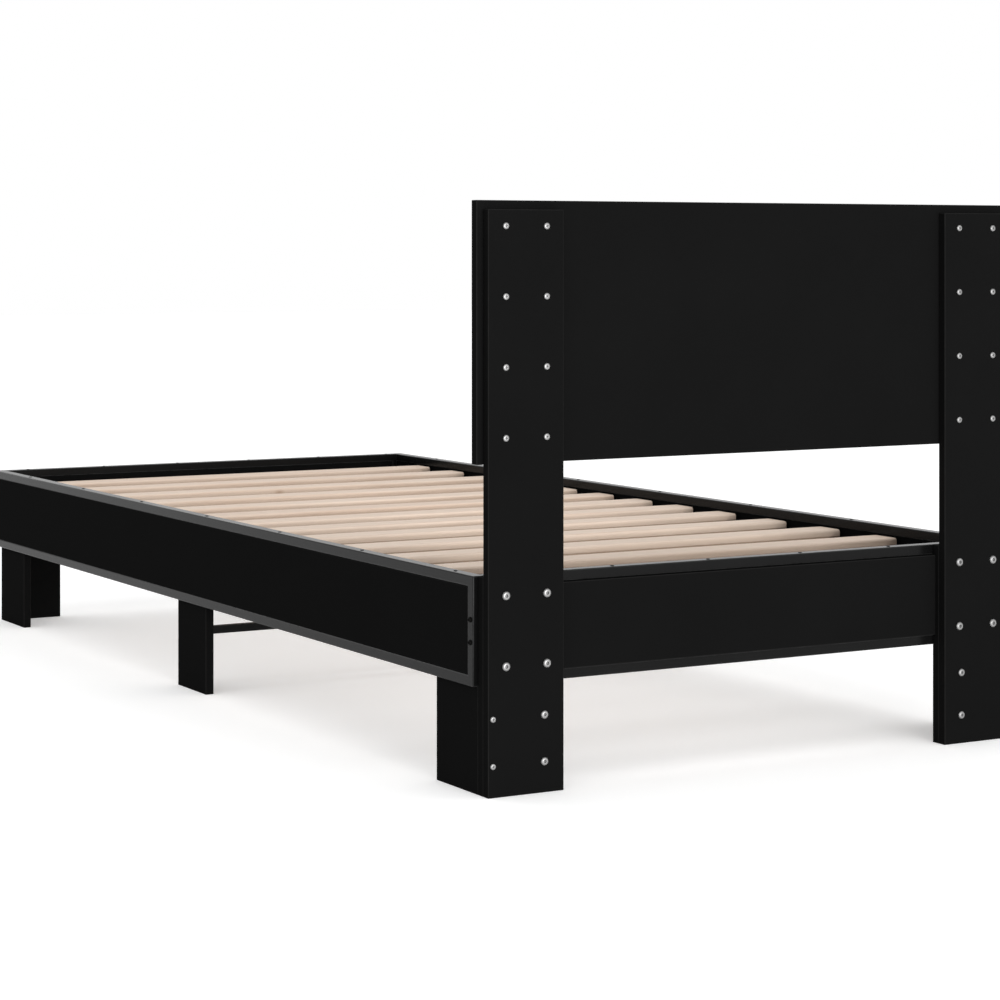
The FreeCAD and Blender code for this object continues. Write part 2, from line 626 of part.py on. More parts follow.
for side_name, side in SIDES:
    ledge = doc.addObject("PartDesign::Body", "Ledge")
    section = sketch_on(ledge, "YZ_Plane", "Section")
    outline(section, [("%d * %s" % (-side, across), up) for across, up in LEDGE_SECTION])
    pad(ledge, section, LEDGE_LENGTH, True)
    place(ledge, FRAME_MIDDLE + " + %s / 2" % LEDGE_LENGTH, infill_face(side), LEDGE_TOP)
    drilled(ledge, [rod((ledge_screw_x(k), infill_face(side), LEDGE_SCREW_UP), inward(side),
                        hole("trim_shank"), "ledge_metal") for k in range(LEDGE_SCREWS)],
            "slat_ledge_" + side_name)

SLAT_LENGTH = "(frame_width - 2 * tube_width - 2 * slat_clearance)"
SLAT_ROOM = "(frame_length - 2 * tube_width - slat_start - slat_end - slat_width)"
SLAT_PITCH = "(%s - %d * slat_pitch_middle) / %d" % (SLAT_ROOM, SLATS_IN_MIDDLE, 2 * SLATS_AT_EACH_END)


def slat_offset(k):
    """How far slat k lies from the first, towards the foot.

    The slats in the middle keep their own pitch, and the pitch towards both ends shares what is left.
    """
    middle = min(max(k - SLATS_AT_EACH_END, 0), SLATS_IN_MIDDLE)
    return "(%d * %s + %d * slat_pitch_middle)" % (k - middle, SLAT_PITCH, middle)


ALONG_THE_SLAT = 0.9

for k in range(SLAT_COUNT):
    slat = doc.addObject("PartDesign::Body", "Slat")
    section = sketch_on(slat, "XZ_Plane", "Section")
    rectangle(section, "-slat_width", "0", "0", "slat_thickness")
    bar = pad(slat, section, SLAT_LENGTH, False)
    doc.recompute()
    long_edges = ["Edge%d" % (n + 1) for n, edge in enumerate(bar.Shape.Edges)
                  if abs(edge.tangentAt(edge.FirstParameter).y) > ALONG_THE_SLAT]
    rounding = slat.newObject("PartDesign::Fillet", "Rounding")
    rounding.Base = (bar, long_edges)
    bind(rounding, Radius="slat_edge_radius")
    node(slat, "slat_%02d" % (k + 1))
    place(slat, "%s - tube_width - slat_start - %s" % (FRAME_HEAD, slat_offset(k)), SLAT_LENGTH + " / 2",
          LEDGE_TOP)

# ---------------------------------------------------------------- fasteners

# What a rail bolt clamps: post, packer, the infill's recess and the infill.
RAIL_STACK = "2 * board_thickness + infill_recess + infill_thickness"

headboard_screws, edge_screws, leg_bolts, leg_nuts, rail_bolts, rail_nuts = [], [], [], [], [], []
for _, side in SIDES:
    post_y = "%d * %s" % (side, POST_MIDDLE)
    for across in columns(side):
        y = "%s + %s" % (post_y, across)
        for up in HEADBOARD_ROWS:
            headboard_screws.append(fastener((HEAD_END, y, up), "+x", "screw_head", "screw_head_height",
                                             "screw_shank", "board_thickness + screw_bite"))
        for up in RAIL_ROWS:
            rail_bolts.append(fastener((HEAD_END, y, up), "+x", "bolt_head", "bolt_head_height", "bolt_shank",
                                       RAIL_STACK + " + nut_height + thread_end"))
            nut_seat = "%s - (%s)" % (HEAD_END, RAIL_STACK)
            rail_nuts.append(nut((nut_seat, y, up), "-x", "nut_width", "nut_height", "bolt_shank"))
    for up in LEG_ROWS:
        bolt_y = "%s + %s" % (post_y, from_outer_edge(side, "leg_bolt_edge"))
        leg_bolts.append(fastener((HEAD_END, bolt_y, up), "+x", "leg_head", "leg_head_height", "leg_shank",
                                  "2 * board_thickness + leg_nut_height + thread_end"))
        leg_nuts.append(nut((FRAME_HEAD, bolt_y, up), "-x", "leg_nut_width", "leg_nut_height", "leg_shank"))
        screw_y = "%s + %s" % (post_y, from_outer_edge(side, "board_thickness / 2"))
        edge_screws.append(fastener((HEAD_END, screw_y, up), "+x", "edge_head", "edge_head_height",
                                    "edge_shank", "2 * board_thickness + edge_bite"))
node(group(headboard_screws), "headboard_screws")
node(group(rail_bolts), "rail_bolts")
node(group(rail_nuts), "rail_nuts")
node(group(leg_bolts), "leg_bolts")
node(group(leg_nuts), "leg_nuts")
node(group(edge_screws), "leg_edge_screws")

corner_bolts, corner_nuts = [], []
for _, side in SIDES:
    for _, _, bolt_x in END_RAILS:
        for up in CORNER_ROWS:
            corner_bolts.append(fastener((bolt_x, "%d * %s" % (side, FRAME_SIDE), up), OPPOSITE[inward(side)],
                                         "corner_head", "corner_head_height", "corner_shank",
                                         "tube_width + tube_wall + corner_nut_height"))
            corner_nuts.append(nut((bolt_x, "%d * (%s / 2 - tube_wall)" % (side, END_RAIL_LENGTH), up),
                                   inward(side), "corner_nut_width", "corner_nut_height", "corner_shank"))
node(group(corner_bolts), "frame_corner_bolts")
node(group(corner_nuts), "frame_corner_nuts")

INFILL_SHANK_LENGTH = "tube_height + infill_gap + infill_bite"
infill_screws = [fastener(side_screw_start(side, along, RAIL_TOP), "+z", "infill_head", "infill_head_height",
                          "infill_shank", INFILL_SHANK_LENGTH) for _, side in SIDES for along in SIDE_SCREWS]
infill_screws += [fastener(end_screw_start(low_x, across, RAIL_TOP), "+z", "infill_head",
                           "infill_head_height", "infill_shank", INFILL_SHANK_LENGTH)
                  for _, low_x, _ in END_RAILS for across in END_SCREWS]
node(group(infill_screws), "infill_screws")


def trim_screw(x, y, z, side, metal):
    """A small screw through a metal part that lies on the inner face y of a board on one side."""
    seat = "%s - %d * %s" % (y, side, metal)
    return fastener((x, seat, z), inward(side), "trim_head", "trim_head_height", "trim_shank",
                    metal + " + trim_bite")


bracket_screws = [trim_screw(x, leg_inner(side), up, side, "bracket_metal") for centre in LEG_CENTRES.values()
                  for _, side in SIDES for x, up in bracket_places(centre)]
node(group(bracket_screws), "leg_bracket_screws")
stretcher_screws = [trim_screw(x, leg_inner(side), up, side, "plate_metal")
                    for _, side in SIDES for x, up in PLATE_PLACES]
node(group(stretcher_screws), "stretcher_screws")
ledge_screws = [trim_screw(ledge_screw_x(k), infill_face(side), LEDGE_SCREW_UP, side, "ledge_metal")
                for _, side in SIDES for k in range(LEDGE_SCREWS)]
node(group(ledge_screws), "slat_ledge_screws")

# ---------------------------------------------------------------- check and write

doc.recompute()
for thing in doc.Objects:
    if "Invalid" in thing.State or "Error" in thing.State:
        raise RuntimeError("%s (%s) failed: %s" % (thing.Name, thing.Label, thing.State))
for thing in nodes:
    if thing.Shape.isNull() or not thing.Shape.isValid() or thing.Shape.Volume <= 0:
        raise RuntimeError("%s has no valid shape" % thing.Label)

os.makedirs("parts", exist_ok=True)
for thing in nodes:
    thing.Shape.exportStep("parts/%s.step" % thing.Label)
    extent = thing.Shape.BoundBox
    print("%-28s %3d solids  %9.1f cm3  X %8.1f %8.1f  Y %7.1f %7.1f  Z %6.1f %6.1f" % (
        thing.Label, len(thing.Shape.Solids), thing.Shape.Volume / 1000, extent.XMin, extent.XMax,
        extent.YMin, extent.YMax, extent.ZMin, extent.ZMax))
print(len(nodes), "sub-parts")
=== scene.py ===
"""Studio scene of a single bed frame: black boards in grey steel rails, pale slats, bright fasteners."""
import math
from collections import namedtuple

import bmesh
import bpy
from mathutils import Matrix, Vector


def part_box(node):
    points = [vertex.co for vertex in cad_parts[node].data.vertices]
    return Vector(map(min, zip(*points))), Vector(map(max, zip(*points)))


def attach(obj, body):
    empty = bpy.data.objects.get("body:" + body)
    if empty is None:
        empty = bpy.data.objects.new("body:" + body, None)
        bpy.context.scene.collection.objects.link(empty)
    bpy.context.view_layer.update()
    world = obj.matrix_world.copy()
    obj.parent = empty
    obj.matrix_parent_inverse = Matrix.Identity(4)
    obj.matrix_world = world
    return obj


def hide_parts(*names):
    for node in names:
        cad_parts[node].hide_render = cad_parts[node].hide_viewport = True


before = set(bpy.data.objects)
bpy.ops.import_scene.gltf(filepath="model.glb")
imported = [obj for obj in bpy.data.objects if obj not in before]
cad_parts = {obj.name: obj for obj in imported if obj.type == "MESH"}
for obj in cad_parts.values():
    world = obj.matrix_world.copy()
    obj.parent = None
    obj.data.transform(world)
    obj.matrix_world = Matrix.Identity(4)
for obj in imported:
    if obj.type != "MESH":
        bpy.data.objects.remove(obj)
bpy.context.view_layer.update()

SIDES = (("left", -1), ("right", 1))
LEGS = ("head", "mid", "foot")

# ------------------------------------------------- sizes that the frame does not give, in metres

BOARD_EDGE = 0.0011          # eased edge of a foil-covered board
STEEL_EDGE = 0.0016          # rounded edge of a drawn tube
SHEET_EDGE = 0.0004          # edge of a pressed steel plate
TUBE_HEIGHT = 0.0155         # top and bottom tubes of a rail
SIDE_UPRIGHT = 0.016         # face of a side rail's end upright
END_UPRIGHT = 0.010          # face of an end rail's upright
STRETCHER = 0.014            # square bar between the middle legs
PLATE = 0.002                # sheet steel
SHARP_ANGLE = 0.1            # radians between two faces from which their edge is rounded

SLAT_EDGE = 0.0050           # rounded upper edge of a slat
SLAT_UNDER_EDGE = 0.0030     # eased lower edge of a slat
SLAT_END = 0.0012            # eased end of a slat
SLAT_JITTER = 0.0006         # how far a loose slat lies off its place
SIDE_PAINTED_SHADE = 0.44             # share of painted shade on a slat's sides and ends; its underside gets the full painted shade
UNDERSIDE = -0.1             # Z of the normals below which a slat's face is its underside
SLATS_AT_EACH_END = 4        # slats at the wide pitch, from each end of the bed
SLATS_IN_MIDDLE = 4          # slats at the middle pitch
SLAT_PITCH_MIDDLE = 0.139

COLUMN_SPACING = 0.067       # between the two columns of heads on a post
HEADBOARD_ROWS = 4
LEDGE_SCREWS = 5
# Screws in the rails' tops: from a rail's head or left end to the first one, their pitch and number.
SIDE_START, SIDE_PITCH, SIDE_COUNT = 0.0695, 0.300, 7
END_START, END_PITCH, END_COUNT = 0.0495, 0.169, 6
PANEL_SCREW_LENGTH = 0.026
INFILL_SCREW_LENGTH = 0.034
TRIM_BITE = 0.010            # length of a small screw past the plate that it holds
NUT_FLATS, NUT_BORE = 0.010, 0.0031
NUT_HEIGHT, CORNER_NUT_HEIGHT = 0.005, 0.006
DOWEL_RADIUS, DOWEL_LENGTH, DOWEL_CHAMFER = 0.0040, 0.024, 0.0008

# ------------------------------------------------- node graphs


class Value:
    """The output of a node, on which arithmetic adds Math nodes."""

    def __init__(self, graph, socket):
        self.graph = graph
        self.socket = socket

    def maths(self, operation, *others):
        values = dict(enumerate((self, *others)))
        return self.graph.add("ShaderNodeMath", {"operation": operation}, values)

    def __add__(self, other):
        return self.maths("ADD", other)

    def __mul__(self, other):
        return self.maths("MULTIPLY", other)

    def __sub__(self, other):
        return self.maths("SUBTRACT", other)

    def __rsub__(self, other):
        return self.graph.add("ShaderNodeMath", {"operation": "SUBTRACT"}, {0: other, 1: self})

    def __pow__(self, other):
        return self.maths("POWER", other)

    __radd__ = __add__
    __rmul__ = __mul__

    def limited(self, low=0.0, high=1.0):
        return self.maths("MAXIMUM", low).maths("MINIMUM", high)


class Graph:
    """A node tree that is filled by one method."""

    def __init__(self, tree):
        self.tree = tree

    def add(self, kind, settings=None, inputs=None, output=None):
        """Add a node: its settings first, then the values or links of its sockets, by name or number."""
        node = self.tree.nodes.new(kind)
        for key, setting in (settings or {}).items():
            setattr(node, key, setting)
        for key, value in (inputs or {}).items():
            self.feed(self.find(node.inputs, key), value)
        return Value(self, self.find(node.outputs, output or 0))

    def find(self, sockets, key):
        """The socket in use that has this name or number."""
        usable = [socket for socket in sockets if socket.enabled]
        return usable[key] if isinstance(key, int) else next(s for s in usable if s.name == key)

    def feed(self, socket, value):
        if isinstance(value, Value):
            self.tree.links.new(value.socket, socket)
        else:
            socket.default_value = value


class Finish(Graph):
    """A surface material: the same all over, apart from what its nodes vary."""

    def __init__(self, name, **uniform):
        self.material = bpy.data.materials.new(name)
        self.material.use_nodes = True
        super().__init__(self.material.node_tree)
        self.surface = self.tree.nodes["Principled BSDF"]
        self.coords = self.add("ShaderNodeTexCoord", output="Object")
        for key, value in uniform.items():
            self.surface.inputs[key.replace("_", " ")].default_value = value

    def stretched(self, scale):
        """Object coordinates, in metres, scaled along each axis."""
        return self.add("ShaderNodeMapping", None, {"Vector": self.coords, "Scale": scale})

    def vectors(self, operation, first, second):
        """Arithmetic on two vectors."""
        return self.add("ShaderNodeVectorMath", {"operation": operation}, {0: first, 1: second})

    def noise(self, scale, detail=2.0, roughness=0.5, vector=None):
        return self.add("ShaderNodeTexNoise", None, {
            "Vector": vector or self.coords, "Scale": scale, "Detail": detail,
            "Roughness": roughness}, "Fac")

    def attribute(self, name):
        """A number that the mesh carries on its faces."""
        return self.add("ShaderNodeAttribute", {"attribute_name": name}, None, "Fac")

    def worn(self):
        """1 on the eased edges of a piece and 0 on its faces."""
        return self.attribute("edge")

    def blend(self, factor, first, second):
        return self.add("ShaderNodeMix", {"data_type": "RGBA"}, {
            "Factor": factor, "A": first, "B": second})

    def bumpy(self, height, strength, depth, under=None):
        inputs = {"Height": height, "Strength": strength, "Distance": depth}
        if under:
            inputs["Normal"] = under
        return self.add("ShaderNodeBump", None, inputs)

    def varied(self, **changes):
        """Feed the surface's sockets from nodes, and hand over the material."""
        for key, value in changes.items():
            self.feed(self.surface.inputs[key.replace("_", " ")], value)
        return self.material


def grey(level, warmth=0.0):
    """A neutral colour, or one with a little more red and less blue."""
    return (level * (1 + warmth), level, level * (1 - warmth), 1.0)


def black_foil():
    """Matt black foil on board: a faint pore emboss, hand marks in its sheen, paler rubbed edges."""
    f = Finish("black_foil", IOR=1.45, Specular_IOR_Level=0.003)
    pores = f.noise(1400.0, 2.0)
    strands = f.noise(1.0, 3.0, vector=f.stretched((260.0, 260.0, 22.0)))
    marks = f.noise(5.0, 4.0, 0.6)
    rubbed = (f.worn() * (0.35 + 0.65 * f.noise(60.0, 3.0))).limited()
    shade = f.blend(marks, grey(0.0042), grey(0.0056))
    return f.varied(
        Base_Color=f.blend(rubbed * 0.5, shade, grey(0.020, 0.02)),
        Roughness=(0.62 + 0.22 * marks + 0.08 * pores - 0.10 * rubbed).limited(0.3, 0.95),
        Normal=f.bumpy(pores, 0.12, 0.0001, f.bumpy(strands, 0.06, 0.0002)))


def grey_coat():
    """Dark grey powder coat on steel tube: fine orange peel, satin, with bright rubbed arrises."""
    f = Finish("grey_coat", IOR=1.5, Specular_IOR_Level=0.095)
    peel = f.noise(520.0, 2.0, 0.45)
    grit = f.noise(2600.0, 1.0)
    drift = f.noise(7.0, 3.0)
    rubbed = (f.worn() * (f.noise(45.0, 4.0, 0.7) * 1.6 - 0.35)).limited()
    shade = f.blend(drift, grey(0.0026), grey(0.0042))
    return f.varied(
        Base_Color=f.blend(rubbed * 0.5, shade, grey(0.040)),
        Roughness=(0.17 + 0.09 * drift + 0.06 * grit + 0.10 * rubbed).limited(0.1, 0.8),
        Normal=f.bumpy(peel, 0.16, 0.0002, f.bumpy(grit, 0.10, 0.00005)))


def slat_wood():
    """Planed pale softwood: growth rings drawn out along each slat, pores, a few small knots, and
    painted shade that darkens the sides and undersides.
    """
    f = Finish("slat_wood", IOR=1.45, Specular_IOR_Level=0.25)
    tone = f.attribute("tone")
    shift = f.add("ShaderNodeCombineXYZ", None, {"X": tone * 3.0, "Y": tone * 41.0, "Z": tone * 7.0})
    grain = f.vectors("ADD", f.vectors("MULTIPLY", f.coords, (1.0, 0.045, 1.0)), shift)
    rings = f.add("ShaderNodeTexWave", {"wave_type": "BANDS", "bands_direction": "X"}, {
        "Vector": grain, "Scale": 34.0, "Distortion": 5.5, "Detail": 3.0, "Detail Scale": 1.4}, "Fac")
    fibres = f.noise(900.0, 3.0, 0.6, grain)
    pores = f.noise(1900.0, 2.0, 0.5, grain)
    clouds = f.noise(9.0, 3.0, 0.5, grain)
    knot_places = f.vectors("ADD", f.vectors("MULTIPLY", f.coords, (1.0, 0.45, 1.0)), shift)
    knot_field = f.add("ShaderNodeTexVoronoi", None, {"Vector": knot_places, "Scale": 4.2}, "Distance")
    knots = (1.0 - knot_field * 34.0).limited()
    late_wood = (rings ** 2.2) * 0.55 + fibres * 0.30
    pale = f.blend(tone, (0.680, 0.545, 0.450, 1.0), (0.745, 0.620, 0.520, 1.0))
    ringed = f.blend(late_wood.limited() * 0.70, pale, (0.520, 0.360, 0.262, 1.0))
    clouded = f.blend(clouds * 0.25, ringed, (0.740, 0.640, 0.530, 1.0))
    knotted = f.blend(knots * 0.75, clouded, (0.270, 0.150, 0.080, 1.0))
    # Painted shade: the sides, ends and undersides are darkened towards brown, standing in for the shade
    # that falls there.
    painted_shade = f.attribute("side")
    return f.varied(
        Base_Color=f.blend(painted_shade * 0.80, knotted, (0.340, 0.230, 0.155, 1.0)),
        Roughness=(0.58 + 0.14 * fibres - 0.10 * rings).limited(0.35, 0.9),
        Normal=f.bumpy(rings, 0.10, 0.0003, f.bumpy(pores, 0.22, 0.0001)))


def bright_zinc():
    """Bright zinc plating: a fine turned grain, small stains, and painted shade that darkens the drive
    recess.
    """
    f = Finish("bright_zinc", IOR=1.5)
    turned = f.noise(3200.0, 2.0)
    stains = f.noise(420.0, 3.0, 0.6)
    depth = f.attribute("recess")
    plate = f.blend(stains, grey(0.22), grey(0.31, 0.01))
    return f.varied(
        # Painted shade: the recess is made less metallic and darker, in place of the shade that falls in
        # it.
        Metallic=1.0 - depth * 0.2,
        Base_Color=f.blend(depth * 0.7, plate, grey(0.10)),
        Roughness=(0.34 + 0.14 * stains + 0.06 * turned).limited(0.1, 0.7),
        Normal=f.bumpy(turned, 0.10, 0.00004))


def black_oxide():
    """Blackened steel: oily black with brown breaks on its rims."""
    f = Finish("black_oxide", IOR=1.5, Specular_IOR_Level=0.04)
    film = f.noise(380.0, 3.0, 0.6)
    depth = f.attribute("recess")
    shade = f.blend(film, grey(0.0012), grey(0.0030, 0.15))
    return f.varied(
        # Painted shade: the drive recess is darkened further towards black.
        Base_Color=f.blend(depth * 0.6, shade, grey(0.0005)),
        Roughness=(0.38 + 0.22 * film).limited(0.2, 0.8),
        Normal=f.bumpy(film, 0.10, 0.00005))


def birch():
    """Turned birch of a dowel."""
    f = Finish("birch", IOR=1.45, Specular_IOR_Level=0.25)
    fibres = f.noise(700.0, 3.0, vector=f.stretched((1.0, 0.06, 1.0)))
    return f.varied(
        Base_Color=f.blend(fibres, (0.56, 0.42, 0.28, 1.0), (0.70, 0.56, 0.40, 1.0)),
        Roughness=0.55 + 0.2 * fibres,
        Normal=f.bumpy(fibres, 0.2, 0.0001))


def studio_floor():
    """Pale painted floor with a barely uneven sheen."""
    f = Finish("studio_floor", Specular_IOR_Level=0.05, Emission_Color=grey(1.0), Emission_Strength=0.22)
    unevenness = f.noise(1.3, 4.0)
    return f.varied(
        Base_Color=f.blend(unevenness, grey(0.93), grey(0.96)),
        Roughness=0.75 + 0.1 * unevenness)


FOIL, COAT, WOOD = black_foil(), grey_coat(), slat_wood()
ZINC, OXIDE, BIRCH = bright_zinc(), black_oxide(), birch()

# ------------------------------------------------- meshes


def linked(name, data):
    """An object of the scene that holds this data."""
    obj = bpy.data.objects.new(name, data)
    bpy.context.scene.collection.objects.link(obj)
    return obj


def mesh_object(name, bm):
    """Turn a bmesh into an object at the origin."""
    mesh = bpy.data.meshes.new(name)
    bm.to_mesh(mesh)
    bm.free()
    return linked(name, mesh)


def new_bmesh():
    bm = bmesh.new()
    bm.faces.layers.float.new("edge")
    return bm


def edges_of(faces):
    """The edges of some faces, each once and in a fixed order."""
    return list(dict.fromkeys(edge for face in faces for edge in face.edges))


def add_block(bm, low, high):
    """A closed box between two corners. Returns its edges."""
    corners = [bm.verts.new((x, y, z)) for z in (low[2], high[2]) for y in (low[1], high[1])
               for x in (low[0], high[0])]
    sides = ((0, 2, 3, 1), (4, 5, 7, 6), (0, 1, 5, 4), (1, 3, 7, 5), (3, 2, 6, 7), (2, 0, 4, 6))
    faces = [bm.faces.new([corners[k] for k in side]) for side in sides]
    return edges_of(faces)


def ease(bm, edges, radius, segments=3):
    """Round edges and mark the new faces as worn edges."""
    layer = bm.faces.layers.float["edge"]
    made = bmesh.ops.bevel(bm, geom=edges, offset=radius, segments=segments, profile=0.5, affect="EDGES",
                           clamp_overlap=True)
    for face in made["faces"]:
        face[layer] = 1.0


def sharp(edges):
    """The edges at which two faces meet at an angle."""
    return [edge for edge in edges
            if len(edge.link_faces) == 2 and edge.calc_face_angle() > SHARP_ANGLE]


def add_prism(bm, section, low_x, high_x):
    """A section in Y and Z drawn along X. Returns its edges."""
    near = [bm.verts.new((high_x, y, z)) for y, z in section]
    far = [bm.verts.new((low_x, y, z)) for y, z in section]
    count = len(section)
    faces = [bm.faces.new(near), bm.faces.new(far[::-1])]
    faces += [bm.faces.new((near[k], far[k], far[(k + 1) % count], near[(k + 1) % count]))
              for k in range(count)]
    bmesh.ops.recalc_face_normals(bm, faces=faces)
    return edges_of(faces)


def ring_outline(bm, corners, axis, place):
    """Four corners of a rectangle that stands across an axis at a place along it."""
    (a0, z0), (a1, z1) = corners
    around = ((a0, z0), (a1, z0), (a1, z1), (a0, z1))
    return [bm.verts.new((a, place, z) if axis == "y" else (place, a, z)) for a, z in around]


def add_rail(bm, low, high, upright):
    """A rectangle of tube: an outer and an inner outline joined into a closed ring."""
    axis = "y" if high[0] - low[0] > high[1] - low[1] else "x"
    along = 0 if axis == "y" else 1
    across = 1 - along
    outer = ((low[along], low[2]), (high[along], high[2]))
    inner = ((low[along] + upright, low[2] + TUBE_HEIGHT),
             (high[along] - upright, high[2] - TUBE_HEIGHT))
    loops = [ring_outline(bm, corners, axis, place) for place in (low[across], high[across])
             for corners in (outer, inner)]
    faces = []
    for first, second in ((0, 1), (2, 3), (0, 2), (1, 3)):
        for k in range(4):
            n = (k + 1) % 4
            faces.append(bm.faces.new((loops[first][k], loops[first][n],
                                       loops[second][n], loops[second][k])))
    bmesh.ops.recalc_face_normals(bm, faces=faces)
    return edges_of(faces)


def settle(obj, material, slot, *nodes):
    """Give a piece its finish and let it stand for its CAD nodes."""
    if not obj.data.materials:
        obj.data.materials.append(material)
    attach(obj, "root")
    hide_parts(*nodes)


def add_piece(node, bm, material, slot):
    """One piece in place of one CAD node: its eased edges are shaded round and its faces flat."""
    layer = bm.faces.layers.float["edge"]
    for face in bm.faces:
        face.smooth = face[layer] > 0
    settle(mesh_object(node.replace("_", "-"), bm), material, slot, node)


# ------------------------------------------------- boards

BOARDS = ["headboard_panel", "head_rail_infill", "foot_rail_infill", "head_rail_facing"]
for side_name, side in SIDES:
    BOARDS += [stem + side_name for stem in (
        "headboard_post_", "post_packer_", "side_rail_infill_", "foot_leg_end_board_")]
    BOARDS += ["%s_leg_board_%s" % (leg, side_name) for leg in LEGS]

for node in BOARDS:
    bm = new_bmesh()
    ease(bm, add_block(bm, *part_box(node)), BOARD_EDGE)
    add_piece(node, bm, FOIL, "black_board")

# ------------------------------------------------- steel rails

for node, upright in (("side_rail_frame_left", SIDE_UPRIGHT), ("side_rail_frame_right", SIDE_UPRIGHT),
                      ("head_rail_frame", END_UPRIGHT), ("foot_rail_frame", END_UPRIGHT)):
    bm = new_bmesh()
    ease(bm, sharp(add_rail(bm, *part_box(node), upright)), STEEL_EDGE)
    add_piece(node, bm, COAT, "grey_steel")

# ------------------------------------------------- ledges, brackets and stretcher

for side_name, side in SIDES:
    node = "slat_ledge_" + side_name
    low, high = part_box(node)
    outer, inner = (low[1], high[1]) if side < 0 else (high[1], low[1])
    bend = outer - side * PLATE
    section = [(outer, high[2]), (inner, high[2]), (inner, high[2] - PLATE), (bend, high[2] - PLATE),
               (bend, low[2]), (outer, low[2])]
    bm = new_bmesh()
    ease(bm, add_prism(bm, section, low[0], high[0]), SHEET_EDGE, 2)
    add_piece(node, bm, COAT, "grey_steel")

rail_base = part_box("side_rail_frame_left")[0][2]
for side_name, side in SIDES:
    leg_face = abs(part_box("mid_leg_board_" + side_name)[0 if side > 0 else 1][1])
    tube_face = abs(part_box("side_rail_frame_" + side_name)[0 if side > 0 else 1][1])
    for leg in LEGS:
        node = "leg_bracket_%s_%s" % (leg, side_name)
        low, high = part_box(node)
        cranked = [(leg_face, low[2]), (leg_face - PLATE, low[2]),
                   (leg_face - PLATE, rail_base + PLATE), (tube_face - PLATE, rail_base + PLATE),
                   (tube_face - PLATE, high[2]), (tube_face, high[2]),
                   (tube_face, rail_base), (leg_face, rail_base)]
        bm = new_bmesh()
        section = [(side * y, z) for y, z in cranked]
        ease(bm, add_prism(bm, section, low[0], high[0]), SHEET_EDGE, 2)
        add_piece(node, bm, COAT, "grey_steel")

low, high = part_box("mid_leg_stretcher")
middle_x, middle_z = (low[0] + high[0]) / 2, (low[2] + high[2]) / 2
bm = new_bmesh()
half = STRETCHER / 2
ease(bm, add_block(bm, (middle_x - half, low[1] + PLATE, middle_z - half),
                   (middle_x + half, high[1] - PLATE, middle_z + half)), STEEL_EDGE)
for near, far in ((low[1], low[1] + PLATE), (high[1] - PLATE, high[1])):
    ease(bm, add_block(bm, (low[0], near, low[2]), (high[0], far, high[2])), SHEET_EDGE, 2)
add_piece("mid_leg_stretcher", bm, COAT, "grey_steel")

# ------------------------------------------------- repeated pieces


def node_group(name, inputs):
    """A geometry tree with named inputs: its graph, its input values and its inputs' socket names."""
    tree = bpy.data.node_groups.new(name, "GeometryNodeTree")
    for label, kind in inputs:
        tree.interface.new_socket(name=label, in_out="INPUT", socket_type="NodeSocket" + kind)
    tree.interface.new_socket(name="Geometry", in_out="OUTPUT", socket_type="NodeSocketGeometry")
    graph = Graph(tree)
    entry = tree.nodes.new("NodeGroupInput")
    given = {label: Value(graph, entry.outputs[label]) for label, _ in inputs}
    sockets = {item.name: item.identifier for item in tree.interface.items_tree
               if item.in_out == "INPUT"}
    return graph, given, sockets


def deliver(graph, instances, material):
    """End a tree with real geometry in its material."""
    solid = graph.add("GeometryNodeRealizeInstances", None, {"Geometry": instances})
    coated = graph.add("GeometryNodeSetMaterial", None, {"Geometry": solid, "Material": material})
    graph.feed(graph.tree.nodes.new("NodeGroupOutput").inputs["Geometry"], coated)


def grown(name, graph, sockets, values, mesh=None):
    """Run a tree on an object and keep the result as a plain mesh."""
    seed = linked(name + "-seed", mesh or bpy.data.meshes.new(name + "-seed"))
    modifier = seed.modifiers.new("grow", "NODES")
    modifier.node_group = graph.tree
    for label, value in values.items():
        modifier[sockets[label]] = value
    depsgraph = bpy.context.evaluated_depsgraph_get()
    made = bpy.data.meshes.new_from_object(seed.evaluated_get(depsgraph), preserve_all_data_layers=True,
                                           depsgraph=depsgraph)
    bpy.data.objects.remove(seed)
    return linked(name, made)


def random_value(graph, low, high, seed):
    return graph.add("FunctionNodeRandomValue", {"data_type": "FLOAT"}, {
        "Min": low, "Max": high, "Seed": seed})


def slat_row_tree():
    """Slats in a row towards the foot, closer in the middle of the bed than towards both ends."""
    graph, given, sockets = node_group("slat_row", (
        ("Slat", "Object"), ("Count", "Int"), ("At Each End", "Int"), ("In Middle", "Int"),
        ("Pitch", "Float"), ("Middle Pitch", "Float"), ("Jitter", "Float"), ("Material", "Material")))
    index = graph.add("GeometryNodeInputIndex")
    middle = (index - given["At Each End"]).limited(0.0, given["In Middle"])
    travel = (index - middle) * given["Pitch"] + middle * given["Middle Pitch"]
    wander = random_value(graph, -1.0, 1.0, 3) * given["Jitter"]
    points = graph.add("GeometryNodeMeshLine", {"mode": "OFFSET"}, {
        "Count": given["Count"], "Offset": (0, 0, 0)})
    shift = graph.add("ShaderNodeCombineXYZ", None, {"X": wander - travel})
    spread = graph.add("GeometryNodeSetPosition", None, {"Geometry": points, "Offset": shift})
    slat = graph.add("GeometryNodeObjectInfo", None, {"Object": given["Slat"]}, "Geometry")
    laid = graph.add("GeometryNodeInstanceOnPoints", None, {"Points": spread, "Instance": slat})
    toned = graph.add("GeometryNodeStoreNamedAttribute", {"data_type": "FLOAT", "domain": "INSTANCE"}, {
        "Geometry": laid, "Name": "tone", "Value": random_value(graph, 0.0, 1.0, 11)})
    deliver(graph, toned, given["Material"])
    return graph, sockets


